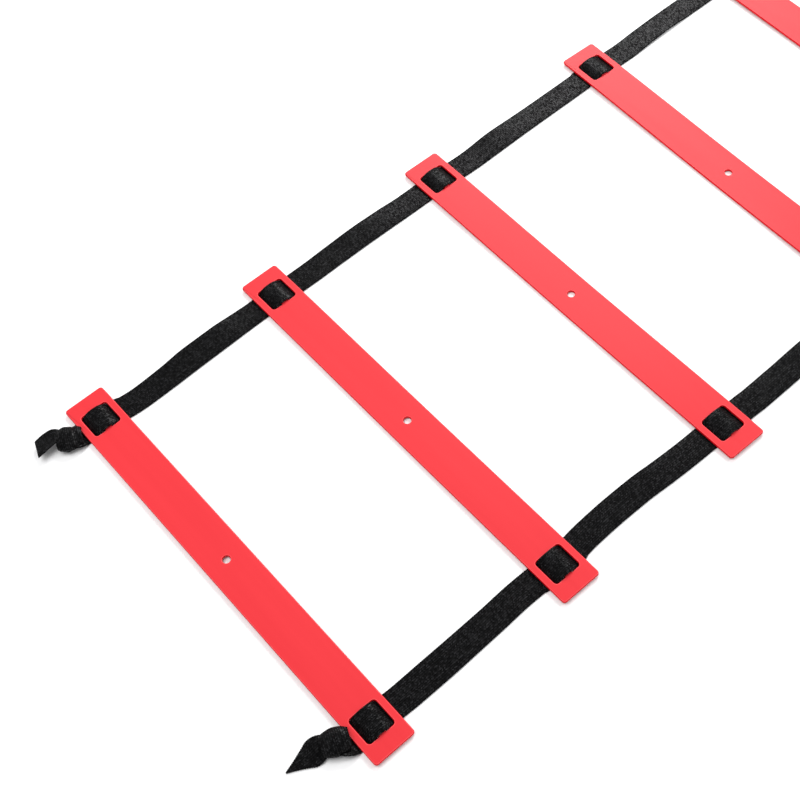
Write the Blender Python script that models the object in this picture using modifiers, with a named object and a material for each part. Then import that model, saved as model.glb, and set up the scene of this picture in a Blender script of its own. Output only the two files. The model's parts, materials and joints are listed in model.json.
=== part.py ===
"""Agility ladder: six flat plastic rungs threaded on two webbing straps that are knotted at the ends.

X runs along the ladder, Y along the rungs and Z up, in metres. The straps lie on the plane Z = 0 and
the origin is the middle of the ladder on that plane. Each strap is cut into the lengths that move
against each other: where it passes through a rung, the runs between rungs, and the folds half way
along each bay, where the ladder gathers into a stack.
"""

import math

import bmesh
import bpy
from mathutils import Matrix, Vector

# Ladder layout: distances between rung middles, and how each rung lies on the straps.
BAYS = (0.1949, 0.1949, 0.2058, 0.1904, 0.1949)
RUNG_SKEWS_DEG = (0.3, 0.0, -0.9, -2.5, -2.8, 0.3)

# Rung: a moulded plate with a window at each end and a bar across each window.
RUNG_LENGTH = 0.425
RUNG_WIDTH = 0.0394
RUNG_THICKNESS = 0.0025
RUNG_CORNER = 0.003
RUNG_EDGE = 0.0007
END_WALL = 0.0157
WINDOW_ALONG = 0.0266
WINDOW_CORNER = 0.003
BAR_WIDTH = 0.007
HOLE_DIAMETER = 0.0068

# Webbing, and the clearances between it and what it touches. Its seams hide under the side walls.
WEBBING_WIDTH = 0.025
WEBBING_THICKNESS = 0.0014
CLEARANCE = 0.0003
SIDE_CLEARANCE = 0.0003
CREST_SLACK = 0.0011
ARCH_FULLNESS = 3.0
SEAM_COVER = 0.0030
FOLD_LENGTH = 0.012
# How far each strap bows towards +Y half way along each bay.
LEFT_BOWS = (0.0004, 0.0021, 0.0004, 0.0, 0.0006)
RIGHT_BOWS = (0.0010, 0.0052, 0.0010, -0.0008, 0.0)

# Overhand knots and the cut tails past them, given in the frame of the end rung.
KNOT_LENGTH = 0.0225
KNOT_ACROSS = 0.030
KNOT_HEIGHT = 0.0125
KNOT_ROUND = 0.0054
KNOT_GAP = 0.0004
LEFT_KNOT_SHIFT = -0.0008
RIGHT_KNOT_SHIFT = 0.0040
SQUARE_TAIL_LENGTH = 0.0185
SQUARE_TAIL_SHIFT = 0.0120
POINTED_TAIL_LENGTH = 0.0310
POINTED_TAIL_SHOULDER = 0.0080
POINTED_TAIL_SHIFT = 0.0110
TAIL_GATHER = 0.0060

# Values that follow from the sizes above.
WINDOW_ACROSS = WEBBING_WIDTH + 2 * SIDE_CLEARANCE
STRAP_SPREAD = RUNG_LENGTH - 2 * END_WALL - WINDOW_ACROSS
TAIL_WIDTH = WEBBING_WIDTH - TAIL_GATHER
RUNG_UNDERSIDE = WEBBING_THICKNESS + CLEARANCE
RUNG_TOP = RUNG_UNDERSIDE + RUNG_THICKNESS
CREST_MIDDLE = RUNG_TOP + CREST_SLACK + WEBBING_THICKNESS / 2
THREADED_HALF = RUNG_WIDTH / 2 - SEAM_COVER
RISE_HALF = WINDOW_ALONG / 2 - WINDOW_CORNER * 0.6
STATIONS = [sum(BAYS[:i]) - sum(BAYS) / 2 for i in range(len(BAYS) + 1)]
FOLDS = [(a + b) / 2 for a, b in zip(STATIONS, STATIONS[1:])]
SIDES = {"left": (1, LEFT_BOWS), "right": (-1, RIGHT_BOWS)}

CORNER_SEGMENTS = 4
HOLE_SIDES = 16
ARCH_STEPS = 18
CUT_MARGIN = 0.002


def clear_scene():
    """Remove every object and the collections that held them."""
    for item in list(bpy.data.objects):
        bpy.data.objects.remove(item, do_unlink=True)
    for item in list(bpy.data.collections):
        bpy.data.collections.remove(item)


def make_collection(name):
    collection = bpy.data.collections.new(name)
    bpy.context.scene.collection.children.link(collection)
    return collection


def plain_material(name, colour, roughness):
    """A Principled material with one colour and one roughness."""
    material = bpy.data.materials.new(name)
    material.use_nodes = True
    shader = material.node_tree.nodes["Principled BSDF"]
    shader.inputs["Base Color"].default_value = (*colour, 1.0)
    shader.inputs["Roughness"].default_value = roughness
    shader.inputs["Metallic"].default_value = 0.0
    return material


def rounded_box(name, size, corner, segments):
    """A box mesh about its own middle, with its four upright edges rounded."""
    shape = bmesh.new()
    bmesh.ops.create_cube(shape, size=1.0)
    bmesh.ops.scale(shape, vec=size, verts=shape.verts)
    if corner:
        upright = [e for e in shape.edges if abs((e.verts[0].co - e.verts[1].co).z) > size[2] / 2]
        bmesh.ops.bevel(shape, geom=upright, offset=corner, segments=segments, profile=0.5, affect="EDGES")
    mesh = bpy.data.meshes.new(name)
    shape.to_mesh(mesh)
    shape.free()
    return mesh


def flat_outline(name, points, thickness):
    """A filled flat curve through the points, extruded to the thickness about its own plane."""
    curve = bpy.data.curves.new(name, "CURVE")
    curve.dimensions = "2D"
    curve.fill_mode = "BOTH"
    curve.extrude = thickness / 2
    spline = curve.splines.new("POLY")
    spline.points.add(len(points) - 1)
    for point, (x, y) in zip(spline.points, points):
        point.co = (x, y, 0.0, 1.0)
    spline.use_cyclic_u = True
    return curve


def smooth(mesh):
    mesh.shade_smooth()
    mesh.set_sharp_from_angle(angle=math.radians(40))


class Frame:
    """An empty that pieces hang from, with its place in the ladder."""

    def __init__(self, name, world, collection, parent=None):
        self.world = world
        self.collection = collection
        self.empty = bpy.data.objects.new(name, None)
        self.empty.empty_display_size = 0.02
        collection.objects.link(self.empty)
        self.empty.parent = parent.empty if parent else None
        self.empty.matrix_basis = parent.world.inverted() @ world if parent else world

    def add(self, name, data, material, world):
        """Hang one sub-part here, at its place in the ladder."""
        piece = bpy.data.objects.new(name, data)
        if not data.materials:
            data.materials.append(material)
        self.collection.objects.link(piece)
        piece.parent = self.empty
        piece.matrix_basis = self.world.inverted() @ world
        return piece


def add_cutter(name, data, place, collection):
    cutter = bpy.data.objects.new(name, data)
    cutter.location = place
    cutter.hide_render = True
    cutter.display_type = "WIRE"
    collection.objects.link(cutter)
    return cutter


def cut(target, cutter):
    modifier = target.modifiers.new(cutter.name, "BOOLEAN")
    modifier.operation = "DIFFERENCE"
    modifier.solver = "EXACT"
    modifier.object = cutter


def rung_mesh(cutters):
    """The rung plate with its windows, bars and middle hole, with every rim broken."""
    plate = rounded_box("rung_plate", (RUNG_WIDTH, RUNG_LENGTH, RUNG_THICKNESS), RUNG_CORNER, CORNER_SEGMENTS)
    pattern = bpy.data.objects.new("rung_pattern", plate)
    cutters.objects.link(pattern)
    through = RUNG_THICKNESS + 2 * CUT_MARGIN
    for side, (sign, _) in SIDES.items():
        middle = Vector((0.0, sign * STRAP_SPREAD / 2, 0.0))
        size = (WINDOW_ALONG, WINDOW_ACROSS, through)
        window = add_cutter(
            f"{side}_window_cut", rounded_box("window", size, WINDOW_CORNER, CORNER_SEGMENTS), middle, cutters
        )
        bar_size = (BAR_WIDTH, WINDOW_ACROSS + 2 * CUT_MARGIN, through + 2 * CUT_MARGIN)
        bar = add_cutter(f"{side}_bar_kept", rounded_box("bar", bar_size, 0.0, 1), middle, cutters)
        cut(window, bar)
        cut(pattern, window)
    shape = bmesh.new()
    radius = HOLE_DIAMETER / 2
    bmesh.ops.create_cone(
        shape, cap_ends=True, segments=HOLE_SIDES, radius1=radius, radius2=radius, depth=through
    )
    drill = bpy.data.meshes.new("middle_hole")
    shape.to_mesh(drill)
    shape.free()
    cut(pattern, add_cutter("middle_hole_cut", drill, Vector(), cutters))
    rim = pattern.modifiers.new("rim", "BEVEL")
    rim.width = RUNG_EDGE
    rim.segments = 1
    rim.limit_method = "ANGLE"
    rim.angle_limit = math.radians(60)
    bpy.context.view_layer.update()
    evaluated = pattern.evaluated_get(bpy.context.evaluated_depsgraph_get())
    mesh = bpy.data.meshes.new_from_object(evaluated)
    mesh.name = "rung"
    bpy.data.objects.remove(pattern, do_unlink=True)
    smooth(mesh)
    return mesh


def threaded_outline():
    """Side view of the webbing through one window: under the side walls and over the bar."""
    rise = CREST_MIDDLE - WEBBING_THICKNESS / 2
    path = [(-THREADED_HALF, WEBBING_THICKNESS / 2)]
    for step in range(ARCH_STEPS + 1):
        along = RISE_HALF * (2 * step / ARCH_STEPS - 1)
        height = WEBBING_THICKNESS / 2 + rise * (1 - abs(along / RISE_HALF) ** ARCH_FULLNESS)
        path.append((along, height))
    path.append((THREADED_HALF, WEBBING_THICKNESS / 2))
    upper, lower = [], []
    for i, point in enumerate(path):
        ahead = Vector(path[min(i + 1, len(path) - 1)])
        behind = Vector(path[max(i - 1, 0)])
        tangent = (ahead - behind).normalized()
        normal = Vector((-tangent.y, tangent.x)) * WEBBING_THICKNESS / 2
        if i in (0, len(path) - 1):
            normal = Vector((0.0, WEBBING_THICKNESS / 2))
        upper.append(tuple(Vector(point) + normal))
        lower.append(tuple(Vector(point) - normal))
    return upper + lower[::-1]


def rung_frame(index):
    """Place of a rung: its station along the ladder and its skew, on the floor plane."""
    turn = Matrix.Rotation(math.radians(RUNG_SKEWS_DEG[index]), 4, "Z")
    return Matrix.Translation((STATIONS[index], 0.0, 0.0)) @ turn


def strap_edge(frame, along, sign):
    """The two edge points of a strap at a distance along a rung's own frame, inner first."""
    middle = sign * STRAP_SPREAD / 2
    half = WEBBING_WIDTH / 2
    return [(frame @ Vector((along, middle + offset, 0.0))).xy for offset in (-half, half)]


def fold_edge(fold, along, sign):
    middle = sign * STRAP_SPREAD / 2 + SIDES["left" if sign > 0 else "right"][1][fold]
    half = WEBBING_WIDTH / 2
    return [Vector((FOLDS[fold] + along, middle + offset)) for offset in (-half, half)]


def add_strap(body, name, first, second, material):
    """A flat length of webbing between two edges, lying on the floor plane."""
    outline = [first[0], second[0], second[1], first[1]]
    origin = sum(outline, Vector((0.0, 0.0))) / len(outline)
    data = flat_outline(name, [tuple(p - origin) for p in outline], WEBBING_THICKNESS)
    world = Matrix.Translation((origin.x, origin.y, WEBBING_THICKNESS / 2))
    return body.add(name, data, material, world)


def knot_mesh():
    """A pulled-tight overhand knot as a rounded block."""
    mesh = rounded_box("knot", (KNOT_LENGTH, KNOT_ACROSS, KNOT_HEIGHT), 0.0, 1)
    shape = bmesh.new()
    shape.from_mesh(mesh)
    bmesh.ops.bevel(
        shape, geom=shape.edges[:], offset=KNOT_ROUND, segments=4, profile=0.5, affect="EDGES"
    )
    shape.to_mesh(mesh)
    shape.free()
    smooth(mesh)
    return mesh


def tail_outline(pointed):
    """Plan of a cut tail, from the knot outwards along -X: cut square, or cut to a point."""
    half = TAIL_WIDTH / 2
    if pointed:
        reach = -POINTED_TAIL_LENGTH
        return [(0.0, -half), (-POINTED_TAIL_SHOULDER, -half), (reach, half / 3), (0.0, half)]
    reach = -SQUARE_TAIL_LENGTH
    return [(0.0, -half), (reach, -half), (reach, half), (0.0, half)]


def add_end(body, end, frame, meshes, material):
    """Both straps' short end runs, knots and tails outside an end rung, along the frame's -X."""
    for side, (sign, _) in SIDES.items():
        facing = sign if end == "near" else -sign
        inner = strap_edge(frame, -THREADED_HALF - CLEARANCE, facing)
        outer = strap_edge(frame, -RUNG_WIDTH / 2 - KNOT_GAP + CLEARANCE, facing)
        add_strap(body, f"{side}_{end}_strap_end", inner, outer, material)
        shift = LEFT_KNOT_SHIFT if facing > 0 else RIGHT_KNOT_SHIFT
        across = facing * STRAP_SPREAD / 2 + shift
        along = -RUNG_WIDTH / 2 - KNOT_GAP - KNOT_LENGTH / 2
        place = frame @ Matrix.Translation((along, across, KNOT_HEIGHT / 2))
        body.add(f"{side}_{end}_knot", meshes["knot"], material, place)
        tail_shift = SQUARE_TAIL_SHIFT if facing > 0 else POINTED_TAIL_SHIFT
        outside = along - KNOT_LENGTH / 2 - CLEARANCE
        middle = facing * STRAP_SPREAD / 2 + tail_shift
        place = frame @ Matrix.Translation((outside, middle, WEBBING_THICKNESS / 2))
        tail = meshes["square_tail" if facing > 0 else "pointed_tail"]
        body.add(f"{side}_{end}_tail", tail, material, place)


def build():
    clear_scene()
    ladder = make_collection("agility_ladder")
    cutters = make_collection("cutters")
    plastic = plain_material("rung_plastic", (0.90, 0.045, 0.06), 0.42)
    webbing = plain_material("webbing", (0.012, 0.012, 0.013), 0.85)
    rung = rung_mesh(cutters)
    threaded = flat_outline("threaded_webbing", threaded_outline(), WEBBING_WIDTH)
    meshes = {
        "knot": knot_mesh(),
        "square_tail": flat_outline("square_tail", tail_outline(False), WEBBING_THICKNESS),
        "pointed_tail": flat_outline("pointed_tail", tail_outline(True), WEBBING_THICKNESS),
    }
    upright = Matrix.Rotation(math.pi / 2, 4, "X")
    body = None
    for index in range(len(STATIONS)):
        origin = FOLDS[index - 1] if index else STATIONS[0]
        axis = Matrix.Translation((origin, 0.0, WEBBING_THICKNESS / 2))
        body = Frame(f"webbing_{index + 1}_origin", axis, ladder, body)
        frame = rung_frame(index)
        slider = Frame(f"rung_{index + 1}_origin", frame, ladder, body)
        height = Matrix.Translation((0.0, 0.0, RUNG_UNDERSIDE + RUNG_THICKNESS / 2))
        slider.add(f"rung_{index + 1}", rung, plastic, frame @ height)
        for side, (sign, _) in SIDES.items():
            through = Matrix.Translation((0.0, sign * STRAP_SPREAD / 2, 0.0)) @ upright
            slider.add(f"{side}_threaded_{index + 1}", threaded, webbing, frame @ through)
            if index:
                start = fold_edge(index - 1, FOLD_LENGTH / 2 + CLEARANCE, sign)
                end = strap_edge(frame, -THREADED_HALF - CLEARANCE, sign)
                add_strap(body, f"{side}_run_{index}_far", start, end, webbing)
            if index < len(FOLDS):
                start = strap_edge(frame, THREADED_HALF + CLEARANCE, sign)
                end = fold_edge(index, -FOLD_LENGTH / 2 - CLEARANCE, sign)
                add_strap(body, f"{side}_run_{index + 1}_near", start, end, webbing)
                start = fold_edge(index, -FOLD_LENGTH / 2, sign)
                end = fold_edge(index, FOLD_LENGTH / 2, sign)
                add_strap(body, f"{side}_fold_{index + 1}", start, end, webbing)
        if index == 0:
            add_end(body, "near", frame, meshes, webbing)
        if index == len(FOLDS):
            add_end(body, "far", frame @ Matrix.Rotation(math.pi, 4, "Z"), meshes, webbing)


build()
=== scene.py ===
"""Looks of an agility ladder: woven straps, moulded rungs, overhand knots and a studio around them.

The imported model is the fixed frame. Every window, fold and rung is read from it, so that each piece
goes where the model says and nothing here moves or resizes it. Metres, X along the ladder, Z up.
"""

import json
import logging
import math
from dataclasses import dataclass
from enum import Enum
from typing import Optional, Sequence

import bmesh
import bpy
import numpy as np
from bpy.types import Material, Mesh, Node, NodeSocket, NodeTree, Object
from mathutils import Matrix, Vector


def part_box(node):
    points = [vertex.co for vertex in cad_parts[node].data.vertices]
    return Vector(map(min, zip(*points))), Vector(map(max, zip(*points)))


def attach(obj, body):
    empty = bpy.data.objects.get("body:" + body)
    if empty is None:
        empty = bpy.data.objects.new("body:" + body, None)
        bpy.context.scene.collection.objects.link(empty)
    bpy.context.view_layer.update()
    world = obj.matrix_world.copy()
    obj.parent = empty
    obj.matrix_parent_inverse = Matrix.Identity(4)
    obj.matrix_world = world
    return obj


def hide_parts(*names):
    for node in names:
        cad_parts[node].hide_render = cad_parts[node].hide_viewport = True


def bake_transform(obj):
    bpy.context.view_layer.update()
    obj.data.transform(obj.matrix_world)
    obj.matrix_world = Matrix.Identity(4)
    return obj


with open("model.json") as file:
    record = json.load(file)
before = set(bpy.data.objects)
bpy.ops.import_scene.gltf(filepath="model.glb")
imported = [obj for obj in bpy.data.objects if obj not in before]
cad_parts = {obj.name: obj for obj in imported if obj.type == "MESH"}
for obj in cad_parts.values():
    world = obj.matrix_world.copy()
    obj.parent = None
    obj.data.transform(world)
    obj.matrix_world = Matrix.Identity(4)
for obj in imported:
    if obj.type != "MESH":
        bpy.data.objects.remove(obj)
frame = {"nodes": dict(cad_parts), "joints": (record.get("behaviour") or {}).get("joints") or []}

LOG = logging.getLogger("agility_ladder")
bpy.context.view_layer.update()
MM_PER_M = 1000
WEAVE_MAP = "weave"
# The mesh attribute that marks the rungs' painted rim highlight and painted wall shade.
RIM_HIGHLIGHT_AND_WALL_SHADE_MAP = "rim_and_wall"


class Way(Enum):
    """A direction along one axis of the ladder, as its sign."""

    @property
    def word(self) -> str:
        """The direction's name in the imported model's node names."""
        return self.name.lower()


class Side(Way):
    """A side of the ladder, as the sign of Y where its strap lies."""

    LEFT = 1
    RIGHT = -1


class End(Way):
    """An end of the ladder, as the direction along X in which its tails point."""

    NEAR = -1
    FAR = 1


class Cut(Enum):
    """How the end of a strap was cut off."""

    SQUARE = "square"
    POINTED = "pointed"


# ---------------- node groups and finishes


class NodeSheet:
    """A node tree with short calls for placing and joining its nodes."""

    def __init__(self, tree: NodeTree) -> None:
        """Keep the tree that nodes are placed in."""
        self.tree = tree

    def add(self, kind: str, inputs: Optional[dict] = None, **settings: object) -> Node:
        """Place a node.

        Args:
            kind: Blender's name of the node type.
            inputs: Numbers or sockets for its inputs, by name or number.
            **settings: Node properties to set first.

        Returns:
            The new node.
        """
        node = self.tree.nodes.new(kind)
        for name, value in settings.items():
            setattr(node, name, value)
        self.feed(node, inputs or {})
        return node

    def feed(self, node: Node, inputs: dict) -> None:
        """Set inputs of a node to numbers or colours, or join other nodes' outputs to them.

        Args:
            node: The node.
            inputs: What goes into its inputs, by name or number.
        """
        for name, value in inputs.items():
            if isinstance(value, NodeSocket):
                self.tree.links.new(value, node.inputs[name])
            else:
                node.inputs[name].default_value = value

    def math(self, operation: str, *values: object, clamp: bool = False) -> NodeSocket:
        """Place a Math node.

        Args:
            operation: The node's operation.
            *values: Its inputs, as numbers or sockets.
            clamp: Whether the result is held between 0 and 1.

        Returns:
            The node's output.
        """
        inputs = dict(enumerate(values))
        return self.add("ShaderNodeMath", inputs, operation=operation, use_clamp=clamp).outputs[0]

    def noise(self, vector: object, scale: object, detail: float) -> NodeSocket:
        """Place a Noise Texture node and return its value output."""
        inputs = {"Vector": vector, "Scale": scale, "Detail": detail}
        return self.add("ShaderNodeTexNoise", inputs).outputs["Fac"]

    def bump(self, height: object, distance: float, strength: float) -> NodeSocket:
        """Place a Bump node and return the normal that it bends."""
        inputs = {"Height": height, "Distance": distance, "Strength": strength}
        return self.add("ShaderNodeBump", inputs).outputs["Normal"]

    def mix_colour(self, share: object, first: object, second: object) -> NodeSocket:
        """Mix two colours by a share from 0 to 1 and return the result."""
        inputs = {"Factor": share, "A": first, "B": second}
        return self.add("ShaderNodeMix", inputs, data_type="RGBA").outputs["Result"]

    def between(self, value: object, low: float, high: float) -> NodeSocket:
        """Spread a value that runs from 0 to 1 between two limits and return the result."""
        inputs = {"Value": value, "To Min": low, "To Max": high}
        return self.add("ShaderNodeMapRange", inputs).outputs["Result"]


def new_group(name: str, vector: str, numbers: dict, results: Sequence[str]) -> tuple:
    """Start a shader node group that takes a vector and numbers, and gives numbers.

    Args:
        name: The group's name.
        vector: The name of its vector input.
        numbers: The names of its other inputs, with their defaults.
        results: The names of its outputs.

    Returns:
        The group, its sheet, its input node and its output node.
    """
    group = bpy.data.node_groups.new(name, "ShaderNodeTree")
    socket = group.interface.new_socket
    socket(name=vector, in_out="INPUT", socket_type="NodeSocketVector")
    for title, value in numbers.items():
        socket(name=title, in_out="INPUT", socket_type="NodeSocketFloat").default_value = value
    for title in results:
        socket(name=title, in_out="OUTPUT", socket_type="NodeSocketFloat")
    sheet = NodeSheet(group)
    return group, sheet, sheet.add("NodeGroupInput"), sheet.add("NodeGroupOutput")


@dataclass(frozen=True)
class Twill:
    """The weave of the webbing: rows of slanting yarn that change slant from one row to the next.

    Lengths are in metres. Slant is how far a yarn moves along its row, as a share of a yarn, and the
    two powers say how flat the yarn's crown and the row's middle are.
    """

    row: float = 0.00175
    yarn: float = 0.00120
    row_start: float = 0.05
    wander: float = 0.0009
    wander_scale: float = 90.0
    wander_detail: float = 2.0
    slant: float = 0.9
    yarn_power: float = 1.8
    row_power: float = 3.0

    def build(self) -> NodeTree:
        """Make the weave's node group.

        Returns:
            A group whose Height is 1 on the crown of a yarn and 0 between yarns, and whose Tone
            differs from yarn to yarn.
        """
        numbers = {"Row": self.row, "Yarn": self.yarn}
        group, sheet, given, result = new_group("twill_weave", "Map", numbers, ("Height", "Tone"))
        calc = sheet.math
        place, row, yarn = given.outputs[:3]
        split = sheet.add("ShaderNodeSeparateXYZ", {0: place})
        along, across = split.outputs[:2]
        wander = calc("SUBTRACT", sheet.noise(place, self.wander_scale, self.wander_detail), 0.5)
        along = calc("ADD", along, calc("MULTIPLY", wander, self.wander))
        rows = calc("DIVIDE", calc("ADD", across, self.row_start), row)
        row = calc("FLOOR", rows)
        offset = calc("SUBTRACT", calc("FRACT", rows), 0.5)
        lean = calc("SUBTRACT", calc("MULTIPLY", calc("MODULO", row, 2.0), 2.0), 1.0)
        lean = calc("MULTIPLY", calc("MULTIPLY", lean, offset), self.slant)
        run = calc("ADD", calc("DIVIDE", along, yarn), lean)
        rib = calc("ABSOLUTE", calc("SUBTRACT", calc("FRACT", run), 0.5))
        rib = calc("SUBTRACT", 1.0, calc("POWER", calc("MULTIPLY", rib, 2.0), self.yarn_power))
        edge = calc("POWER", calc("MULTIPLY", calc("ABSOLUTE", offset), 2.0), self.row_power)
        pair = sheet.add("ShaderNodeCombineXYZ", {0: calc("FLOOR", run), 1: row}).outputs[0]
        toss = sheet.add("ShaderNodeTexWhiteNoise", {"Vector": pair}, noise_dimensions="2D")
        crown = calc("MULTIPLY", rib, calc("SUBTRACT", 1.0, edge), clamp=True)
        sheet.feed(result, {"Height": crown, "Tone": toss.outputs["Value"]})
        return group


@dataclass(frozen=True)
class MouldSkin:
    """The skin of a moulded part: faint paler streaks along it, which are painted sheen, and a fine even
    grain.
    """

    streaks: tuple = (90.0, 5.0, 30.0)
    streak_detail: float = 3.0
    grain_scale: float = 1500.0
    grain_detail: float = 1.0

    def build(self) -> NodeTree:
        """Make the skin's node group.

        Returns:
            A group with the streaks, which are painted sheen, in its first output and the grain in
            Grain, each from 0 to 1.
        """
        numbers = {"Grain Scale": self.grain_scale}
        group, sheet, given, result = new_group("mould_skin", "Place", numbers, ("Flow", "Grain"))
        place, grain_scale = given.outputs[:2]
        stretch = sheet.add("ShaderNodeMapping", {"Vector": place, "Scale": self.streaks})
        # Streaks along the part, used as painted sheen.
        sheen_streak = sheet.noise(stretch.outputs[0], 1.0, self.streak_detail)
        sheet.feed(result, {"Flow": sheen_streak, "Grain": sheet.noise(place, grain_scale, self.grain_detail)})
        return group


def start_material(name: str) -> tuple:
    """Start a material with an empty Principled shader.

    Args:
        name: The material's name.

    Returns:
        The material, its node sheet and its shader node.
    """
    material = bpy.data.materials.new(name)
    material.use_nodes = True
    sheet = NodeSheet(material.node_tree)
    return material, sheet, material.node_tree.nodes["Principled BSDF"]


@dataclass(frozen=True)
class RungPlastic:
    """Red semi-gloss moulded plastic with faint painted sheen streaks, a painted highlight on the rims
    of its top and painted shade on its walls.
    """

    # Paler and deeper red, mixed by streaks along the plate; the paler streaks are painted sheen.
    colour: tuple = (0.73, 0.038, 0.047, 1.0)
    deep: tuple = (0.66, 0.030, 0.038, 1.0)
    # Painted highlight: the paler red of the rims along the top edges, and how much of it they take.
    rim: tuple = (0.95, 0.16, 0.17, 1.0)
    rim_share: float = 0.6
    # Painted shade: the darker red of the walls.
    wall: tuple = (0.66, 0.004, 0.010, 1.0)
    roughness: tuple = (0.34, 0.46)
    specular: float = 0.18
    grain_depth: float = 0.00003
    grain_strength: float = 0.35

    def build(self, skin: NodeTree) -> Material:
        """Make the material.

        Args:
            skin: The moulded skin group.

        Returns:
            The finished material.
        """
        material, sheet, shader = start_material("rung_plastic")
        place = sheet.add("ShaderNodeTexCoord").outputs["Object"]
        sheen_streak, grain = sheet.add("ShaderNodeGroup", {"Place": place}, node_tree=skin).outputs[:2]
        # Its first value marks the painted rim highlight, its second the painted wall shade.
        light_marks = sheet.add("ShaderNodeAttribute", attribute_name=RIM_HIGHLIGHT_AND_WALL_SHADE_MAP).outputs["Vector"]
        face = sheet.add("ShaderNodeSeparateXYZ", {0: light_marks})
        # Painted highlight on the rims of the top.
        rim = sheet.math("MULTIPLY", face.outputs[0], self.rim_share)
        # Paler streaks painted in as sheen; the same streaks also vary the roughness.
        colour = sheet.mix_colour(sheen_streak, self.deep, self.colour)
        # Painted shade on the walls.
        colour = sheet.mix_colour(face.outputs[1], colour, self.wall)
        sheet.feed(shader, {
            "Base Color": sheet.mix_colour(rim, colour, self.rim),
            "Roughness": sheet.between(sheen_streak, *self.roughness),
            "Normal": sheet.bump(grain, self.grain_depth, self.grain_strength),
            "Specular IOR Level": self.specular,
        })
        return material


@dataclass(frozen=True)
class WovenWebbing:
    """Black polypropylene webbing: a slight coat shine on each yarn, painted shade in the valleys
    between yarns and painted glints on a few yarns.
    """

    # The yarn colour, and the darker painted shade in the valleys between yarns.
    crown: tuple = (0.0026, 0.0026, 0.0029, 1.0)
    valley: tuple = (0.0006, 0.0006, 0.0007, 1.0)
    # Painted glints: a much brighter colour on a few yarns, and how rare they are.
    bright: tuple = (0.022, 0.022, 0.024, 1.0)
    bright_rarity: float = 3.0
    roughness: tuple = (0.80, 0.42)
    specular: float = 0.06
    shine: float = 0.42
    shine_roughness: float = 0.32
    yarn_depth: float = 0.00032
    yarn_strength: float = 1.0

    def build(self, weave: NodeTree) -> Material:
        """Make the material.

        Args:
            weave: The twill group.

        Returns:
            The finished material.
        """
        material, sheet, shader = start_material("woven_webbing")
        place = sheet.add("ShaderNodeUVMap", uv_map=WEAVE_MAP).outputs[0]
        height, tone = sheet.add("ShaderNodeGroup", {"Map": place}, node_tree=weave).outputs[:2]
        # Painted glints on a few yarns, picked by their tone.
        yarn = sheet.mix_colour(sheet.math("POWER", tone, self.bright_rarity), self.crown, self.bright)
        # The base colour is darker in the valleys between yarns as painted shade.
        sheet.feed(shader, {
            "Base Color": sheet.mix_colour(height, self.valley, yarn),
            "Roughness": sheet.between(height, *self.roughness),
            "Normal": sheet.bump(height, self.yarn_depth, self.yarn_strength),
            "Coat Weight": sheet.math("MULTIPLY", sheet.math("MULTIPLY", tone, height), self.shine),
            "Coat Roughness": self.shine_roughness,
            "Specular IOR Level": self.specular,
        })
        return material


@dataclass(frozen=True)
class StudioFloor:
    """Matt white paper, so bright that only contact shadows show on it."""

    colour: tuple = (0.95, 0.95, 0.955, 1.0)
    roughness: float = 0.9
    specular: float = 0.1

    def build(self) -> Material:
        """Make the material.

        Returns:
            The finished material.
        """
        material, sheet, shader = start_material("studio_paper")
        sheet.feed(shader, {
            "Base Color": self.colour, "Roughness": self.roughness, "Specular IOR Level": self.specular
        })
        return material


# ---------------- mesh helpers


def link(item: Object) -> Object:
    """Put an object in the scene and return it."""
    bpy.context.scene.collection.objects.link(item)
    return item


def to_mesh(shape: bmesh.types.BMesh, name: str) -> Mesh:
    """Turn an edited shape into a new mesh, and let the shape go.

    Args:
        shape: The edited shape.
        name: The mesh's name.

    Returns:
        The new mesh.
    """
    mesh = bpy.data.meshes.new(name)
    shape.to_mesh(mesh)
    shape.free()
    return mesh


def link_mesh(name: str, mesh: Mesh, material: Material) -> Object:
    """Put a mesh in the scene.

    Args:
        name: The piece's name.
        mesh: Its mesh.
        material: Its finish.

    Returns:
        The new piece.
    """
    mesh.materials.append(material)
    return link(bpy.data.objects.new(name, mesh))


@dataclass(frozen=True)
class Webbing:
    """The strap as it comes off the roll, and how finely its cross-section and its length are cut.

    Lengths are in metres. A share is a share of half the width, counted from the middle.
    """

    width: float = 0.0250
    thickness: float = 0.0014
    edge_shares: tuple = (0.985, 0.955, 0.92)
    edge_power: int = 26
    selvedge: float = 0.0016
    groove: float = 0.00010
    groove_share: float = 0.045
    loop_pitch: float = 0.0016
    loop_depth: float = 0.00013
    loop_share: float = 0.97
    row_step: float = 0.0008
    middle_points: int = 2
    pleat_waves: float = 1.4
    pleat_phase: float = 0.7
    sharp_deg: float = 70.0

    def section(self) -> np.ndarray:
        """The outline of a cross-section, anticlockwise from the -Y edge along the underside.

        Returns:
            Pairs of the place across the strap and the height above its middle layer.
        """
        half, inner = self.width / 2, 1 - 2 * self.selvedge / self.width
        body = inner - self.groove_share
        shares = [-s for s in (*self.edge_shares, inner, body)]
        shares += [body * (i / (self.middle_points + 1) - 1) for i in range(1, self.middle_points + 1)]
        shares = shares + [0.0] + [-s for s in reversed(shares)]
        heights = []
        for share in shares:
            height = (1 - abs(share) ** self.edge_power) ** 0.5 * self.thickness / 2
            heights.append(height - (self.groove if math.isclose(abs(share), inner) else 0.0))
        under = [(s * half, -h) for s, h in zip(shares, heights)]
        upper = [(s * half, h) for s, h in reversed(list(zip(shares, heights)))]
        return np.array([(-half, 0.0)] + under + [(half, 0.0)] + upper)


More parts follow.
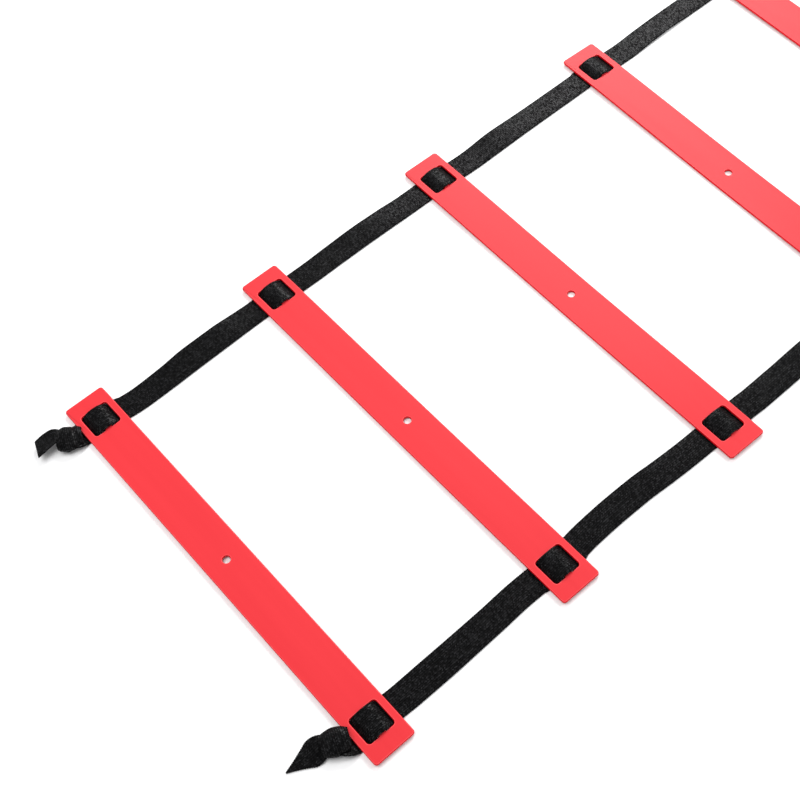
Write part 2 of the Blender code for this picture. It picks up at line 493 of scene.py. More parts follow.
@dataclass
class Rows:
    """Cross-sections along a strap: where each one is, how it is turned and how it is shaped.

    Along is the distance from the first row and width a share of the full width. Crown bends the
    edges up, shear slants the row, pleat is the depth of its folds and fray that of its loose edge
    loops, all in metres.
    """

    centre: np.ndarray
    across: np.ndarray
    normal: np.ndarray
    along: np.ndarray
    width: np.ndarray
    crown: np.ndarray
    shear: np.ndarray
    pleat: np.ndarray
    fray: np.ndarray

    def part(self, start: int, stop: int) -> "Rows":
        """The rows from start up to and including stop."""
        cut = slice(start, stop + 1)
        return Rows(*(getattr(self, name)[cut] for name in self.__dataclass_fields__))


def unit(vectors: np.ndarray) -> np.ndarray:
    """Scale each vector to length 1 and return them."""
    return vectors / np.linalg.norm(vectors, axis=-1, keepdims=True)


def distances(points: np.ndarray) -> np.ndarray:
    """Measure how far each point is along the path through all of them."""
    return np.concatenate([[0.0], np.cumsum(np.linalg.norm(np.diff(points, axis=0), axis=1))])


def lay_rows(centre: np.ndarray, side: np.ndarray, **shape: np.ndarray) -> Rows:
    """Turn a path and its sideways direction into rows, square to the path.

    Args:
        centre: The points of the path.
        side: The rough sideways direction at each point.
        **shape: Any of width, crown, shear, pleat and fray, one number for each row.

    Returns:
        The rows, with their distance along the path.
    """
    path = unit(np.gradient(centre, axis=0))
    across = unit(side - path * np.sum(side * path, axis=1, keepdims=True))
    count = len(centre)
    return Rows(
        centre,
        across,
        np.cross(path, across),
        distances(centre),
        shape.get("width", np.ones(count)),
        *(shape.get(name, np.zeros(count)) for name in ("crown", "shear", "pleat", "fray")),
    )


def weave_mesh(name: str, rows: Rows, webbing: Webbing) -> Mesh:
    """Sweep the webbing's cross-section along rows into one closed mesh with a weave map.

    Args:
        name: The mesh's name.
        rows: The cross-sections.
        webbing: The strap that is swept.

    Returns:
        The mesh. Its UV map is in metres: along the strap, and across it from its middle.
    """
    section = webbing.section()
    half = webbing.width / 2
    share = section[:, 0] / half
    loops = np.cos(2 * np.pi * rows.along / webbing.loop_pitch) * (webbing.loop_depth + rows.fray)
    reach = np.outer(rows.width, section[:, 0])
    at_edge = np.where(np.abs(share) > webbing.loop_share, np.sign(share), 0.0)
    reach = reach + np.outer(loops, at_edge)
    lift = section[:, 1] + np.outer(rows.crown, share**2)
    waves = np.cos(webbing.pleat_waves * 2 * np.pi * share + webbing.pleat_phase)
    lift = lift + np.outer(rows.pleat, waves)
    path = np.cross(rows.across, rows.normal)
    skew = np.outer(rows.shear, share)
    points = (
        rows.centre[:, None, :]
        + rows.across[:, None, :] * reach[..., None]
        + rows.normal[:, None, :] * lift[..., None]
        + path[:, None, :] * skew[..., None]
    )
    count, around = points.shape[:2]
    first = np.arange(around)
    second = np.roll(first, -1)
    base = np.arange(count - 1)[:, None] * around
    walls = np.stack([base + first, base + around + first, base + around + second, base + second], -1)
    faces = walls.reshape(-1, 4).tolist()
    middle = around // 2
    for offset, turn in ((0, 1), ((count - 1) * around, -1)):
        ring = [(i, i + 1, around - i - 1, around - i) for i in range(1, middle - 1)]
        ring = [(0, 1, around - 1), *ring, (middle - 1, middle, around - middle + 1)]
        faces += [[offset + i for i in cap][::turn] for cap in ring]
    mesh = bpy.data.meshes.new(name)
    mesh.from_pydata(points.reshape(-1, 3).tolist(), [], faces)
    uv = mesh.uv_layers.new(name=WEAVE_MAP)
    corners = np.empty(len(mesh.loops), np.int32)
    mesh.loops.foreach_get("vertex_index", corners)
    places = np.stack([rows.along[corners // around], reach.ravel()[corners]], -1)
    uv.data.foreach_set("uv", places.astype(np.float32).ravel())
    mesh.shade_smooth()
    mesh.set_sharp_from_angle(angle=math.radians(webbing.sharp_deg))
    mesh.validate()
    return mesh


# ---------------- the ladder as packed


@dataclass(frozen=True)
class Place:
    """Where a rung or a window lies: its middle, its turn about Z, and its top."""

    x: float
    y: float
    yaw: float
    top: float

    @property
    def matrix(self) -> Matrix:
        """The place as a matrix, on the floor plane."""
        return Matrix.Translation((self.x, self.y, 0.0)) @ Matrix.Rotation(self.yaw, 4, "Z")


def read_rung(index: int) -> Place:
    """Read a rung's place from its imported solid.

    Args:
        index: The rung's number, from 1.

    Returns:
        Its middle, turn and top height.
    """
    low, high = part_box(f"rung_{index}")
    points = np.array([v.co[:] for v in frame["nodes"][f"rung_{index}"].data.vertices])[:, :2]
    _, axes = np.linalg.eigh(np.cov((points - points.mean(0)).T))
    length = axes[:, 1] * np.sign(axes[1, 1])
    middle = (low + high) / 2
    return Place(middle.x, middle.y, math.atan2(-length[0], length[1]), high.z)


RUNG_COUNT = sum(name.startswith("rung_") for name in frame["nodes"])
RUNGS = [read_rung(i + 1) for i in range(RUNG_COUNT)]
FOLDS = sorted(j["pos_m"][0] for j in frame["joints"] if j["type"] == "hinge")


# ---------------- straps


@dataclass(frozen=True)
class BayLay:
    """How a strap lies in one bay, at each of LAY_PLACES, in millimetres.

    Drift is how far its middle lies towards +Y from the straight line between the windows, and tilt
    is the height of its +Y edge over its -Y edge. The lower edge lies on the floor.
    """

    drift: tuple
    tilt: tuple


LAY_PLACES = (0.115, 0.20, 0.35, 0.50, 0.65, 0.80, 0.885)
LAYS = {
    Side.LEFT: (
        BayLay((-2.6, -3.8, -3.3, -2.4, -1.6, -0.6, -0.3), (0, 0, 1.4, 4.7, 4.4, 1, 0)),
        BayLay((0, -0.1, 0.3, 0.4, 0.2, -0.2, -0.2), (0, 0.2, 1.2, 2.4, 1.6, 0, 0)),
        BayLay((-0.9, -1.4, -1.1, -0.6, -0.6, -0.7, -0.6), (0, 0.4, 2.8, 0.8, 0, 0, 0)),
        BayLay((-1, -1.4, -0.4, 0.1, 0, -0.2, -0.2), (0, 0, -1, -1.6, 0, 0, 0)),
        BayLay((0, -0.2, 0.3, 0.5, 0.1, -0.3, -0.2), (0, 0, 1.8, 3.4, 1.2, 0, 0)),
    ),
    Side.RIGHT: (
        BayLay((-0.4, -0.9, -0.8, 0, 0.9, 2, 1.8), (0, 1.3, 2.3, 0.9, 0, 0, 0)),
        BayLay((2.3, 3.7, 4.4, 4, 2.2, 1, 0.7), (0, 0.4, 1, 1.2, 0.6, 0, 0)),
        BayLay((-0.1, -0.8, -0.8, -0.4, -0.1, 0, 0.2), (0, 0.2, 0.6, 1.2, 0.4, 0, 0)),
        BayLay((0.4, 0.1, -0.6, -1, -0.4, 0, 0.2), (0, 0, -1.6, -2.8, -1, 0, 0)),
        BayLay((0.4, 0.1, 0.2, 0.4, 0.2, 0.1, 0.2), (0, 0, 1, 2.2, 1.4, 0, 0)),
    ),
}


@dataclass
class Strap:
    """One continuous strap through every rung, cut into the pieces that move against each other.

    Lengths are in metres. Over each bar the strap is wider by the share snug, and at the windows'
    round corners narrower by the share corner_pinch. It is cut at a seam on each side of a window's
    middle, its knots start at knot_reach, and it bends from fold_lead before a fold to fold_reach
    after it.
    """

    side: Side
    webbing: Webbing = Webbing()
    arch_half: float = 0.0122
    arch_fullness: float = 2.7
    corner_pinch: float = 0.028
    pinch_reach: float = 0.0012
    snug: float = 0.018
    snug_reach: float = 0.0108
    snug_power: int = 6
    base_lift: float = 0.0001
    seam: float = 0.0167
    knot_reach: float = 0.0212
    fold_reach: float = 0.025
    fold_lead: float = 0.002
    lean_share: float = 0.25
    finer: float = 0.25

    def __post_init__(self) -> None:
        """Read how the strap lies in each bay, and where it passes through each window."""
        word = self.side.word
        self.lay = LAYS[self.side]
        self.windows = []
        for index, rung in enumerate(RUNGS, start=1):
            low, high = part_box(f"{word}_threaded_{index}")
            middle = (low + high) / 2
            self.windows.append(Place(middle.x, middle.y, rung.yaw, high.z))

    def controls(self) -> np.ndarray:
        """The strap's control places along X, each with its Y and its tilt.

        Returns:
            One row for each place, in order along X.
        """
        table = []
        for index, window in enumerate(self.windows):
            before = [-self.knot_reach] if index == 0 else []
            after = [self.knot_reach] if index == len(self.windows) - 1 else []
            for offset in (*before, -self.seam, 0.0, self.seam, *after):
                along = window.x + offset * math.cos(window.yaw)
                across = window.y + offset * math.sin(window.yaw) + self.lean(index, offset)
                table.append((along, across, 0.0))
            if index + 1 < len(self.windows):
                ahead = self.windows[index + 1]
                lay = self.lay[index]
                for share, drift, tilt in zip(LAY_PLACES, lay.drift, lay.tilt):
                    across = window.y + share * (ahead.y - window.y) + drift / MM_PER_M
                    table.append((window.x + share * (ahead.x - window.x), across, tilt / MM_PER_M))
        return np.array(table)

    def lean(self, index: int, offset: float) -> float:
        """How far the strap already leans towards its drift in the next bay, where it leaves a rung.

        Args:
            index: The window's number, from 0.
            offset: The distance from the window's middle along the ladder.

        Returns:
            The lean towards +Y.
        """
        if abs(offset) < self.seam or not 0 <= index - (offset < 0) < len(self.lay):
            return 0.0
        drift = self.lay[index - (offset < 0)].drift
        return self.lean_share * (drift[-1] if offset < 0 else drift[0]) / MM_PER_M

    def rows(self) -> Rows:
        """Lay the strap from before its first window to after its last.

        Returns:
            Its cross-sections, evenly spaced.
        """
        table = self.controls()
        along = np.arange(table[0, 0], table[-1, 0], self.webbing.row_step * self.finer)
        across, tilt = (cubic(table[:, 0], table[:, i], along) for i in (1, 2))
        arch = sum(self.arch(along - window.x, window.top) for window in self.windows)
        height = self.base_lift + arch + np.abs(tilt) / 2 + self.webbing.thickness / 2
        yaw = self.turn(along)
        shape = np.stack([
            along, across, height,
            -np.sin(yaw), np.cos(yaw), tilt / self.webbing.width,
            self.pinch(along),
        ])
        distance = distances(shape[:3].T)
        count = int(distance[-1] / self.webbing.row_step)
        even = np.linspace(0.0, distance[-1], count + 1)
        shape = np.stack([np.interp(even, distance, line) for line in shape]).T
        return lay_rows(shape[:, :3], shape[:, 3:6], width=shape[:, 6])

    def arch(self, offset: np.ndarray, top: float) -> np.ndarray:
        """Rise of the strap over the bar of one window.

        Args:
            offset: Distances from the window's middle along X.
            top: The height of the arch's top face.

        Returns:
            The rise at each distance.
        """
        share = np.clip(np.abs(offset) / self.arch_half, 0.0, 1.0)
        return (top - self.webbing.thickness - self.base_lift) * (1 - share**self.arch_fullness)

    def pinch(self, along: np.ndarray) -> np.ndarray:
        """The strap's width: snug over each bar and drawn in at the windows' round corners.

        Args:
            along: Places along X.

        Returns:
            The width at each place, as a share of the full width.
        """
        width = np.ones_like(along)
        for window in self.windows:
            offset = np.abs(along - window.x)
            width += self.snug * np.clip(1 - (offset / self.snug_reach) ** self.snug_power, 0.0, 1.0)
            width -= self.corner_pinch * np.exp(-(((offset - self.arch_half) / self.pinch_reach) ** 2))
        return width

    def turn(self, along: np.ndarray) -> np.ndarray:
        """The strap's turn about Z: each rung's own in its window, and straight in between.

        Args:
            along: Places along X.

        Returns:
            The turn at each place, in radians.
        """
        places, turns = [], []
        for index, window in enumerate(self.windows):
            places += [window.x - self.seam, window.x + self.seam]
            turns += [window.yaw, window.yaw]
            if index < len(FOLDS):
                places.append(FOLDS[index])
                turns.append(0.0)
        return np.interp(along, places, turns)

    def pieces(self) -> list:
        """List the pieces that the strap is cut into.

        Returns:
            For each piece its name, the places along X between which it lies, the node it stands
            for, and either the body it rides or its blend: two bodies, and where it starts and ends.
        """
        word = self.side.word
        found = []
        for end, index in ((End.NEAR, 1), (End.FAR, len(self.windows))):
            window = self.windows[index - 1]
            seam, knot = (window.x + end.value * reach for reach in (self.seam, self.knot_reach))
            found.append((f"{word}_webbing_to_{end.word}_knot", min(seam, knot), max(seam, knot),
                          f"{word}_{end.word}_strap_end",
                          (f"threaded_rung_{index}", f"webbing_{index}", seam, knot)))
        for index, window in enumerate(self.windows, start=1):
            low, high = window.x - self.seam, window.x + self.seam
            body, next_body = f"webbing_{index}", f"webbing_{index + 1}"
            rung, next_rung = f"threaded_rung_{index}", f"threaded_rung_{index + 1}"
            found.append((f"{word}_webbing_in_rung_{index}", low, high,
                          f"{word}_threaded_{index}", rung))
            if index <= len(FOLDS):
                fold = FOLDS[index - 1]
                edge, far = fold - self.fold_lead, fold + self.fold_reach
                ahead = self.windows[index].x - self.seam
                found += [
                    (f"{word}_webbing_before_fold_{index}", high, edge, f"{word}_run_{index}_near",
                     (rung, body, high, edge)),
                    (f"{word}_webbing_at_fold_{index}", edge, far, f"{word}_fold_{index}",
                     (body, next_body, fold, far)),
                    (f"{word}_webbing_after_fold_{index}", far, ahead, f"{word}_run_{index}_far",
                     (next_rung, next_body, ahead, far)),
                ]
        return found

    def build(self, finish: Material) -> None:
        """Make every piece of the strap, let each piece that rides one body ride with it, and leave the
        others where they are laid.

        Args:
            finish: The webbing's material.
        """
        rows = self.rows()
        places = rows.centre[:, 0]
        for name, low, high, node, moves in self.pieces():
            first, last = (int(np.argmin(np.abs(places - x))) for x in (low, high))
            piece = link_mesh(name, weave_mesh(name, rows.part(first, last), self.webbing), finish)
            if isinstance(moves, str):
                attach(piece, moves)
            else:
                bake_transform(piece)
            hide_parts(node)
            LOG.info("%s: %d faces", name, len(piece.data.polygons))


def cubic(places: np.ndarray, values: np.ndarray, at: np.ndarray) -> np.ndarray:
    """Read a smooth curve through values that doesn't overshoot between them.

    Args:
        places: The places of the values, rising.
        values: One value for each place.
        at: Where the curve is read.

    Returns:
        The curve's values.
    """
    slopes = np.diff(values) / np.diff(places)
    before, after = slopes[:-1], slopes[1:]
    tangents = np.zeros_like(values)
    same = before * after > 0
    tangents[1:-1][same] = 2 * (before * after)[same] / (before + after)[same]
    return hermite(places, values, tangents, at)


def hermite(places: np.ndarray, values: np.ndarray, tangents: np.ndarray, at: np.ndarray) -> np.ndarray:
    """Read a cubic curve that has given values and tangents.

    Args:
        places: The places of the values, rising.
        values: One value for each place.
        tangents: The slope at each place.
        at: Where the curve is read.

    Returns:
        The curve's values.
    """
    gaps = np.diff(places)
    index = np.clip(np.searchsorted(places, at) - 1, 0, len(gaps) - 1)
    gap = gaps[index]
    t = np.clip((at - places[index]) / gap, 0.0, 1.0)
    return (
        values[index] * (2 * t**3 - 3 * t**2 + 1)
        + tangents[index] * gap * (t**3 - 2 * t**2 + t)
        + values[index + 1] * (3 * t**2 - 2 * t**3)
        + tangents[index + 1] * gap * (t**3 - t**2)
    )


# ---------------- knots and tails


@dataclass(frozen=True)
class Bend:
    """A place along a short ribbon, in millimetres out from the end rung, sideways and up.

    Roll lifts its +Y edge, gather is the share of its full width that it takes up, curl bends its
    edges up, skew slants its cut, pleat is the depth of its folds, and fray that of its cut edges.
    """

    out: float
    side: float
    up: float
    roll_deg: float = 0.0
    gather: float = 1.0
    curl: float = 0.0
    skew: float = 0.0
    pleat: float = 0.0
    fray: float = 0.0


@dataclass(frozen=True)
class Wrap:
    """A turn of webbing round a knot, in millimetres: its middle, its heading and its girth.

    Gather is the share of its full width that it takes up, pull how far its edges are drawn in as
    a share of the girth, slide how far it winds along its heading, inner the share of the girth
    where it starts, and pleat the depth of its folds.
    """

    out: float
    side: float
    up: float
    heading_deg: float
    half_across: float
    half_up: float
    start_deg: float
    stop_deg: float
    gather: float
    pull: float
    slide: float
    inner: float
    pleat: float


@dataclass(frozen=True)
class KnotShape:
    """An overhand knot and the strap's cut tail."""

    entry: tuple
    core: Wrap
    band: Wrap
    tail: tuple


KNOTS = {
    Cut.POINTED: KnotShape(
        entry=(Bend(21.0, 184.0, 0.85), Bend(23.5, 184.0, 1.9, 2, 0.98, 0.2),
               Bend(27.0, 183.2, 3.6, 4, 0.90, 0.8), Bend(32.0, 180.0, 4.8, 0, 0.60, 1.6),
               Bend(36.0, 178.0, 5.2, 0, 0.45, 1.6)),
        core=Wrap(31.5, 178.4, 5.6, -20.0, 9.2, 3.9, 200.0, -160.0, 0.86, 0.20, 0.8, 0.9, 0.3),
        band=Wrap(30.7, 177.8, 6.2, -21.0, 11.7, 5.4, -170.0, 205.0, 0.95, 0.36, 0.7, 0.84, 0.14),
        tail=(Bend(34.0, 176.5, 5.4, 0, 0.50, 1.0), Bend(40.0, 173.6, 6.2, -6, 0.72, -1.6),
              Bend(45.0, 172.6, 4.2, -3, 0.85, -1.2), Bend(50.0, 172.3, 1.5, 0, 0.84, -0.3, fray=0.06),
              Bend(56.0, 171.6, 0.9, 0, 0.61, fray=0.18), Bend(64.0, 170.8, 0.85, 0, 0.31, fray=0.18),
              Bend(72.6, 170.0, 0.8, 0, 0.03)),
    ),
    Cut.SQUARE: KnotShape(
        entry=(Bend(21.0, -184.0, 0.85), Bend(22.5, -184.0, 1.2),
               Bend(25.2, -183.3, 3.4, 4, 0.98, -0.2), Bend(28.5, -182.8, 6.4, 0, 0.94, -1.4),
               Bend(34.0, -184.8, 8.4, 0, 0.66, -2.0)),
        core=Wrap(31.5, -185.0, 5.6, -20.0, 10.2, 4.2, 190.0, -170.0, 0.92, 0.26, -0.6, 0.9, 0.5),
        band=Wrap(34.0, -186.2, 6.4, -26.0, 12.6, 5.4, -190.0, 175.0, 0.74, 0.34, -1.4, 0.84, 0.30),
        tail=(Bend(35.5, -189.6, 6.4, 4, 0.50, 1.6), Bend(40.8, -193.4, 7.6, 8, 0.70, 1.8),
              Bend(46.2, -195.4, 7.0, 12, 0.76, 1.0), Bend(52.6, -195.7, 6.4, 14, 0.78, 0.4, 1.5),
              Bend(59.4, -194.6, 6.2, 11, 0.68, 0.4, 4.6)),
    ),
}
KNOT_CUTS = {
    (Side.RIGHT, End.NEAR): Cut.POINTED,
    (Side.LEFT, End.NEAR): Cut.SQUARE,
    (Side.LEFT, End.FAR): Cut.POINTED,
    (Side.RIGHT, End.FAR): Cut.SQUARE,
}


@dataclass
class Knot:
    """One knotted strap end past an end rung, made of ribbons of the strap's own webbing."""

    side: Side
    end: End
    webbing: Webbing = Webbing(row_step=0.0005, middle_points=8)
    rows_per_deg: float = 0.35
    powers: tuple = (0.9, 0.8)
    end_share: float = 0.12
    end_width: float = 0.80
    least_pleat: float = 0.4
    pleat_turn: float = 0.5
    pleat_phase: float = 0.4

    def rows_along(self, bends: Sequence[Bend]) -> Rows:
        """Lay a ribbon smoothly through its bends.

        Args:
            bends: The ribbon's places, in order.

        Returns:
            Its rows, in the end rung's own frame.
        """
        table = np.array([
            (b.out, b.side, b.up, math.radians(b.roll_deg) * MM_PER_M, b.gather * MM_PER_M,
             b.curl, b.skew, b.pleat, b.fray) for b in bends
        ]) / MM_PER_M
        steps = distances(table[:, :3])
        even = np.linspace(0.0, steps[-1], int(steps[-1] / self.webbing.row_step) + 1)
        shape = np.stack([spline(steps, line, even) for line in table.T]).T
        roll = shape[:, 3]
        side = np.stack([np.zeros_like(roll), np.cos(roll), np.sin(roll)], -1)
        return lay_rows(shape[:, :3], side, width=shape[:, 4], crown=shape[:, 5], shear=shape[:, 6],
                        pleat=shape[:, 7], fray=shape[:, 8])

    def rows_round(self, wrap: Wrap) -> Rows:
        """Wind a ribbon round the knot.

        Args:
            wrap: The turn.

        Returns:
            Its rows, in the end rung's own frame.
        """
        count = int(abs(wrap.stop_deg - wrap.start_deg) * self.rows_per_deg)
        share = np.linspace(0.0, 1.0, count + 1)
        angle = np.radians(wrap.start_deg + share * (wrap.stop_deg - wrap.start_deg))
        girth = wrap.inner + (1 - wrap.inner) * share
        halves, waves = (wrap.half_across, wrap.half_up), (np.sin(angle), np.cos(angle))
        across, up = (
            half * girth * np.sign(wave) * np.abs(wave) ** power
            for half, wave, power in zip(halves, waves, self.powers)
        )
        heading = math.radians(wrap.heading_deg)
        ahead = np.array([math.cos(heading), math.sin(heading), 0.0])
        beside = np.array([-math.sin(heading), math.cos(heading), 0.0])
        middle = np.array([wrap.out, wrap.side, wrap.up])
        slid = wrap.slide * (share - 0.5) * 2
        centre = middle + ahead * slid[:, None] + beside * across[:, None]
        centre[:, 2] += up
        turn = np.sign(wrap.stop_deg - wrap.start_deg)
        ends = np.clip(np.minimum(share, 1 - share) / self.end_share, 0.0, 1.0)
        ends = ends * ends * (3 - 2 * ends)
        waves = np.abs(np.sin(angle * self.pleat_turn + self.pleat_phase))
        folds = self.least_pleat + (1 - self.least_pleat) * waves
        return lay_rows(
            centre / MM_PER_M, np.tile(-ahead * turn, (count + 1, 1)),
            width=wrap.gather * (self.end_width + (1 - self.end_width) * ends),
            crown=-wrap.pull * np.hypot(across, up) / MM_PER_M, pleat=wrap.pleat * folds / MM_PER_M,
        )

    def build(self, finish: Material) -> None:
        """Make the knot's ribbons and let them ride with the strap.

        Args:
            finish: The webbing's material.
        """
        shape = KNOTS[KNOT_CUTS[self.side, self.end]]
        rung = RUNGS[0 if self.end is End.NEAR else -1]
        body = f"webbing_{1 if self.end is End.NEAR else len(RUNGS)}"
        place = rung.matrix @ Matrix.Rotation(math.pi if self.end is End.NEAR else 0.0, 4, "Z")
        word = f"{self.side.word}_{self.end.word}"
        ribbons = (
            ("knot_entry", self.rows_along(shape.entry), None),
            ("knot_core", self.rows_round(shape.core), None),
            ("knot_band", self.rows_round(shape.band), f"{word}_knot"),
            ("cut_tail", self.rows_along(shape.tail), f"{word}_tail"),
        )
        for title, rows, node in ribbons:
            mesh = weave_mesh(f"{word}_{title}", rows, self.webbing)
            mesh.transform(place)
            piece = link_mesh(f"{word}_{title}", mesh, finish)
            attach(piece, body)
            if node:
                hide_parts(node)
            LOG.info("%s: %d faces", piece.name, len(mesh.polygons))


def spline(places: np.ndarray, values: np.ndarray, at: np.ndarray) -> np.ndarray:
    """Read a rounded curve through the values, with tangents set by their neighbours."""
    return hermite(places, values, np.gradient(values, places), at)


# ---------------- rungs


@dataclass
class RungPlate:
    """A moulded rung: plate, end windows with a bar across each, and a middle hole."""

    length: float = 0.4250
    width: float = 0.0394
    thickness: float = 0.0025
    corner: float = 0.0030
    window_along: float = 0.0266
    window_across: float = 0.0256
    window_corner: float = 0.0030
    window_middle: float = 0.1840
    bar: float = 0.0070
    hole: float = 0.0068
    rim: float = 0.0008
    rim_segments: int = 4
    rim_edge_deg: float = 60.0
    # Top faces that slope between these take the painted rim highlight; other faces sloping more than
    # the first take the painted shade.
    rim_slopes: tuple = (0.01, 0.10)
    clearance: float = 0.004
    corner_segments: int = 8
    hole_segments: int = 48
    sharp_deg: float = 50.0
    sag: tuple = (0.0, 0.0009, 0.0014, 0.0014, 0.0010, 0.0008)
    sag_reach: float = 0.1700
    sag_cuts: int = 28

    def box(self, size: Sequence[float], corner: float) -> Mesh:
        """A box about its own middle with rounded upright edges.

        Args:
            size: Its length along X, Y and Z.
            corner: The radius of its upright edges, or 0.

        Returns:
            The mesh.
        """
        shape = bmesh.new()
        bmesh.ops.create_cube(shape, size=1.0)
        bmesh.ops.scale(shape, vec=size, verts=shape.verts)
        if corner:
            upright = [e for e in shape.edges if abs((e.verts[0].co - e.verts[1].co).z) > size[2] / 2]
            bmesh.ops.bevel(shape, geom=upright, offset=corner, segments=self.corner_segments,
                            profile=0.5, affect="EDGES")
        return to_mesh(shape, "box")

    def drill(self, depth: float) -> Mesh:
        """A round cutter for the middle hole.

        Args:
            depth: Its length along Z.

        Returns:
            The mesh.
        """
        shape = bmesh.new()
        radius = self.hole / 2
        bmesh.ops.create_cone(shape, cap_ends=True, segments=self.hole_segments,
                              radius1=radius, radius2=radius, depth=depth)
        return to_mesh(shape, "drill")

    def mesh(self) -> Mesh:
        """Mould the plate, before it sags.

        Returns:
            The mesh, about its own middle.
        """
        make = bpy.data.objects.new
        through = self.thickness + self.clearance
        bar_length = self.window_across + self.clearance
        plate = make("plate", self.box((self.width, self.length, self.thickness), self.corner))
        helpers = [plate]
        for side in Side:
            opening = (self.window_along, self.window_across, through)
            window = make("window", self.box(opening, self.window_corner))
            bar = make("bar", self.box((self.bar, bar_length, through * 2), 0.0))
            for helper in (window, bar):
                helper.location.y = side.value * self.window_middle
            helpers += [window, bar]
            self.cut(window, bar)
            self.cut(plate, window)
        drill = make("drill", self.drill(through))
        helpers.append(drill)
        self.cut(plate, drill)
        rim = plate.modifiers.new("rim", "BEVEL")
        rim.width = self.rim
        rim.segments = self.rim_segments
        rim.limit_method = "ANGLE"
        rim.angle_limit = math.radians(self.rim_edge_deg)
        rim.use_clamp_overlap = False
        for helper in helpers:
            link(helper)
        bpy.context.view_layer.update()
        solid = plate.evaluated_get(bpy.context.evaluated_depsgraph_get())
        mesh = bpy.data.meshes.new_from_object(solid)
        for helper in helpers:
            bpy.data.objects.remove(helper, do_unlink=True)
        mesh.name = "moulded_rung"
        return mesh

    def mark_rims(self, mesh: Mesh) -> None:
        """Mark each corner where the finish paints a highlight on a rim or shade on a steeper side face,
        so that both stand apart from the flat faces.

        A face is part of a rim, and takes the painted highlight, if it slopes a little, on the top, and
        isn't beside the end of a bar; any other face that slopes more than a little takes the painted
        shade.

        Args:
            mesh: The finished plate.
        """
        light_marks = mesh.attributes.new(RIM_HIGHLIGHT_AND_WALL_SHADE_MAP, "FLOAT_VECTOR", "CORNER")
        flat, steep = self.rim_slopes
        margin = 2 * self.rim
        for face in mesh.polygons:
            slope = 1 - abs(face.normal.z)
            off_window = abs(abs(face.center.y) - self.window_middle) - self.window_across / 2
            beside = abs(face.center.x) < self.bar / 2 + margin and off_window < margin
            # Rims take the painted highlight; other sloping faces take the painted shade.
            rim = float(flat < slope < steep and face.normal.z > 0 and not beside)
            wall = float(slope > flat and not rim)
            for corner in face.loop_indices:
                light_marks.data[corner].vector = (rim, wall, 0.0)

    def let_sag(self, mesh: Mesh, sag: float) -> None:
        """Let the middle of the plate down between the straps that carry its ends.

        Args:
            mesh: The flat plate, about its own middle.
            sag: How far its middle hangs below its ends.
        """
        shape = bmesh.new()
        shape.from_mesh(mesh)
        for step in range(1, self.sag_cuts):
            place = self.sag_reach * (2 * step / self.sag_cuts - 1)
            bmesh.ops.bisect_plane(
                shape, geom=shape.verts[:] + shape.edges[:] + shape.faces[:], plane_co=(0.0, place, 0.0),
                plane_no=(0.0, 1.0, 0.0), dist=1e-6,
            )
        for vert in shape.verts:
            if abs(vert.co.y) < self.sag_reach:
                vert.co.z -= sag * (1 + math.cos(math.pi * vert.co.y / self.sag_reach)) / 2
        shape.to_mesh(mesh)
        shape.free()

    @staticmethod
    def cut(target: Object, cutter: Object) -> None:
        """Take one shape out of another.

        Args:
            target: The object that is cut.
            cutter: The shape that is taken out of it.
        """
        modifier = target.modifiers.new(cutter.name, "BOOLEAN")
        modifier.operation = "DIFFERENCE"
        modifier.solver = "EXACT"
        modifier.object = cutter

    def build(self, finish: Material) -> None:
        """Make every rung in its place.

        Args:
            finish: The rungs' material.
        """
        flat = self.mesh()
        for index, (place, sag) in enumerate(zip(RUNGS, self.sag), start=1):
            mesh = flat.copy()
            self.let_sag(mesh, sag)
            self.mark_rims(mesh)
            mesh.shade_smooth()
            mesh.set_sharp_from_angle(angle=math.radians(self.sharp_deg))
            piece = link_mesh(f"moulded_rung_{index}", mesh, finish)
            height = place.top - self.thickness / 2
            piece.matrix_world = place.matrix @ Matrix.Translation((0.0, 0.0, height))
            smooth = piece.modifiers.new("even_shading", "WEIGHTED_NORMAL")
            smooth.keep_sharp = True
            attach(piece, f"threaded_rung_{index}")
            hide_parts(f"rung_{index}")
            LOG.info("%s: %d faces", piece.name, len(mesh.polygons))


# ---------------- studio


@dataclass(frozen=True)
class StudioCamera:
    """A camera that looks down at the near half of the ladder."""

    azimuth_deg: float = -33.91
    elevation_deg: float = 57.674
    roll_deg: float = -7.83
    distance: float = 1.1955
    ahead: float = 0.2032
    aside: float = 0.0193
    lens_mm: float = 62.21
    nearest: float = 0.01

    def build(self) -> None:
        """Place the camera, aimed from the first rung's place, and make it the scene's own."""
        azimuth, elevation = math.radians(self.azimuth_deg), math.radians(self.elevation_deg)
        level = math.cos(elevation)
        back = Vector((math.sin(azimuth) * level, -math.cos(azimuth) * level, math.sin(elevation)))
        right = Vector((0.0, 0.0, 1.0)).cross(back).normalized()
        upright = Matrix((right, back.cross(right), back)).transposed()
        target = Vector((RUNGS[0].x + self.ahead, self.aside, RUNGS[0].top))
        data = bpy.data.cameras.new("camera")
        data.lens = self.lens_mm
        data.clip_start = self.nearest
        camera = link(bpy.data.objects.new("camera", data))
        turn = (upright @ Matrix.Rotation(math.radians(self.roll_deg), 3, "Z")).to_4x4()
        camera.matrix_world = Matrix.Translation(target + back * self.distance) @ turn
        bpy.context.scene.camera = camera


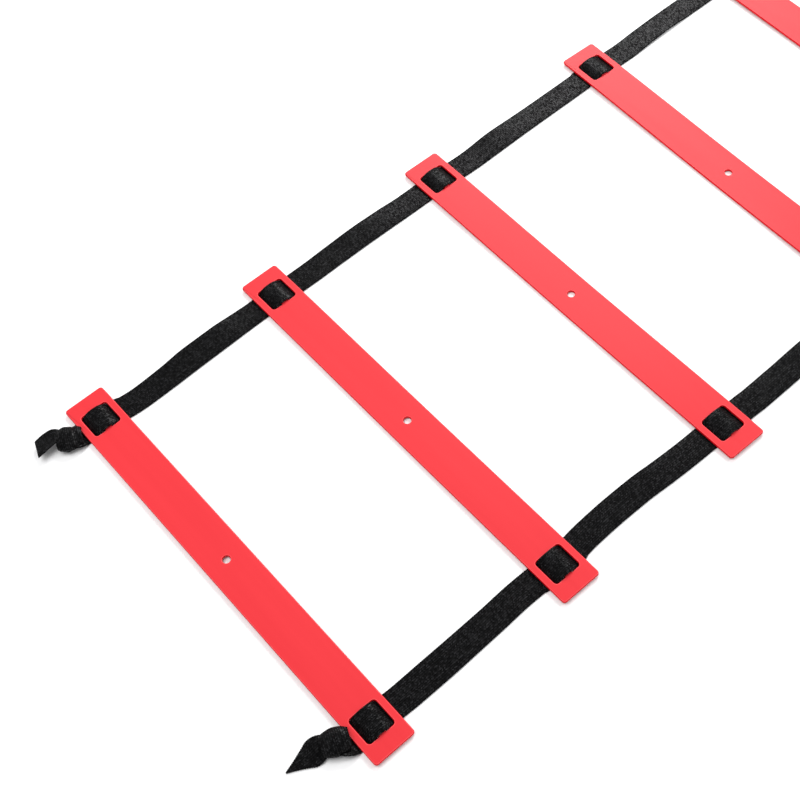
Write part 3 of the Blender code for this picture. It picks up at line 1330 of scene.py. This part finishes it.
@dataclass(frozen=True)
class SoftBox:
    """A large square light, aimed at the ladder."""

    name: str
    place: tuple
    size: float
    watts: float
    mirrored: bool = True
    aim: tuple = (-0.1, 0.0, 0.0)

    def build(self) -> None:
        """Place the light, and keep it out of glossy reflections unless it is mirrored."""
        data = bpy.data.lights.new(self.name, "AREA")
        data.size = self.size
        data.energy = self.watts
        light = link(bpy.data.objects.new(self.name, data))
        light.location = self.place
        light.visible_glossy = self.mirrored
        ray = Vector(self.aim) - Vector(self.place)
        light.rotation_euler = ray.to_track_quat("-Z", "Y").to_euler()


@dataclass(frozen=True)
class Studio:
    """The pale floor, the soft lights and the room's own light."""

    floor_half: float = 8.0
    floor_drop: float = 0.0001
    room: float = 0.46
    boxes: tuple = (
        SoftBox("back_box", (1.6, 1.5, 1.8), 1.4, 60.0),
        SoftBox("side_box", (1.7, -0.9, 1.7), 0.8, 19.0),
        SoftBox("top_box", (-1.0, 0.5, 2.3), 1.6, 34.0, mirrored=False),
    )

    def build(self) -> None:
        """Make the floor, the lights and the world."""
        shape = bmesh.new()
        bmesh.ops.create_grid(shape, x_segments=1, y_segments=1, size=self.floor_half)
        floor = link_mesh("studio_floor", to_mesh(shape, "studio_floor"), StudioFloor().build())
        floor.location.z = -self.floor_drop
        for box in self.boxes:
            box.build()
        world = bpy.data.worlds.new("studio_room")
        world.use_nodes = True
        glow = world.node_tree.nodes["Background"]
        glow.inputs["Color"].default_value = (1.0, 1.0, 1.0, 1.0)
        glow.inputs["Strength"].default_value = self.room
        bpy.context.scene.world = world
        bpy.context.scene.view_settings.view_transform = "Standard"


def main() -> None:
    """Build the ladder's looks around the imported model."""
    logging.basicConfig(level=logging.INFO, format="%(name)s %(message)s")
    StudioCamera().build()
    webbing = WovenWebbing().build(Twill().build())
    plastic = RungPlastic().build(MouldSkin().build())
    RungPlate().build(plastic)
    for side in Side:
        Strap(side).build(webbing)
    for side, end in KNOT_CUTS:
        Knot(side, end).build(webbing)
    Studio().build()


if __name__ == "__main__":
    main()
